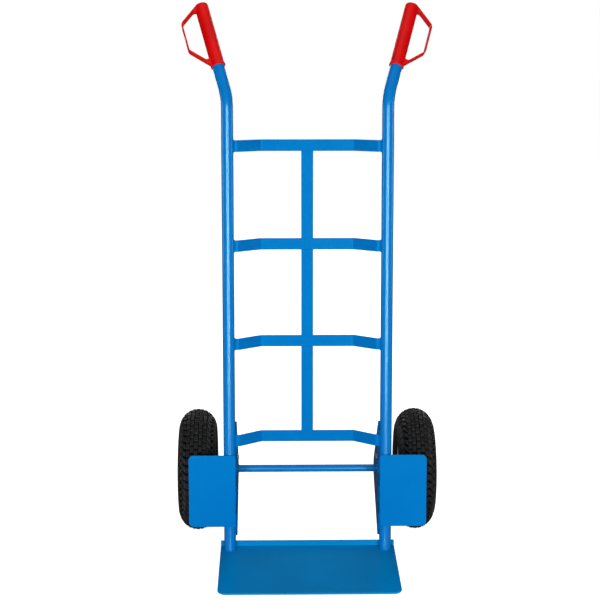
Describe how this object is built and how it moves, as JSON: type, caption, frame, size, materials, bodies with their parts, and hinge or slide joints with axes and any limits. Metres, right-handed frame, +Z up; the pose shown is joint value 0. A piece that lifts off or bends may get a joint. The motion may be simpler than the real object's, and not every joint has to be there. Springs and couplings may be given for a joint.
{
  "type": "hand truck",
  "caption": "Upright two-wheeled hand truck with a bent toe plate, bowed flat crossbars, wheel guards, pneumatic tyres and D-shaped hand guards on the grips.",
  "frame": {"origin": "on the floor under the toe plate, midway between the feet of the rails", "axes": "+Z up, +X across the truck, +Y away from the load towards the wheels' axle"},
  "size_m": [0.5628, 0.4852, 1.1314],
  "materials": {
    "frame_blue": "gloss powder coat",
    "grip_red": "satin soft moulded plastic",
    "tyre_black": "matt black rubber",
    "tube_black": "smooth rubber",
    "rim_grey": "grey enamel",
    "zinc": "bright zinc plate",
    "steel": "ground steel"
  },
  "bodies": {
    "frame": {"axle": "frame_blue", "centre_bar_1": "frame_blue", "centre_bar_2": "frame_blue", "centre_bar_3": "frame_blue", "crossbar_1": "frame_blue", "crossbar_2": "frame_blue", "crossbar_3": "frame_blue", "crossbar_4": "frame_blue", "left_axle_bracket": "frame_blue", "left_axle_spacer": "zinc", "left_axle_washer": "zinc", "left_bracket_screw": "zinc", "left_cotter_pin": "zinc", "left_grip": "grip_red", "left_rail": "frame_blue", "left_wheel_guard": "frame_blue", "right_axle_bracket": "frame_blue", "right_axle_spacer": "zinc", "right_axle_washer": "zinc", "right_bracket_screw": "zinc", "right_cotter_pin": "zinc", "right_grip": "grip_red", "right_rail": "frame_blue", "right_wheel_guard": "frame_blue", "toe_plate": "frame_blue"},
    "left_wheel": {"left_wheel_hub": "rim_grey", "left_wheel_inner_bearing": "steel", "left_wheel_inner_rim_half": "rim_grey", "left_wheel_inner_tube": "tube_black", "left_wheel_outer_bearing": "steel", "left_wheel_outer_rim_half": "rim_grey", "left_wheel_rim_bolt_1": "zinc", "left_wheel_rim_bolt_2": "zinc", "left_wheel_rim_bolt_3": "zinc", "left_wheel_rim_bolt_4": "zinc", "left_wheel_rim_nut_1": "zinc", "left_wheel_rim_nut_2": "zinc", "left_wheel_rim_nut_3": "zinc", "left_wheel_rim_nut_4": "zinc", "left_wheel_tyre": "tyre_black", "left_wheel_valve_stem": "tube_black"},
    "right_wheel": {"right_wheel_hub": "rim_grey", "right_wheel_inner_bearing": "steel", "right_wheel_inner_rim_half": "rim_grey", "right_wheel_inner_tube": "tube_black", "right_wheel_outer_bearing": "steel", "right_wheel_outer_rim_half": "rim_grey", "right_wheel_rim_bolt_1": "zinc", "right_wheel_rim_bolt_2": "zinc", "right_wheel_rim_bolt_3": "zinc", "right_wheel_rim_bolt_4": "zinc", "right_wheel_rim_nut_1": "zinc", "right_wheel_rim_nut_2": "zinc", "right_wheel_rim_nut_3": "zinc", "right_wheel_rim_nut_4": "zinc", "right_wheel_tyre": "tyre_black", "right_wheel_valve_stem": "tube_black"}
  },
  "joints": [
    {"name": "left_wheel_spin", "type": "hinge", "parent": "frame", "child": "left_wheel", "pos_m": [-0.2362, 0.14193, 0.1313], "axis": [1, 0, 0], "continuous": true},
    {"name": "right_wheel_spin", "type": "hinge", "parent": "frame", "child": "right_wheel", "pos_m": [0.2362, 0.14193, 0.1313], "axis": [1, 0, 0], "continuous": true}
  ]
}
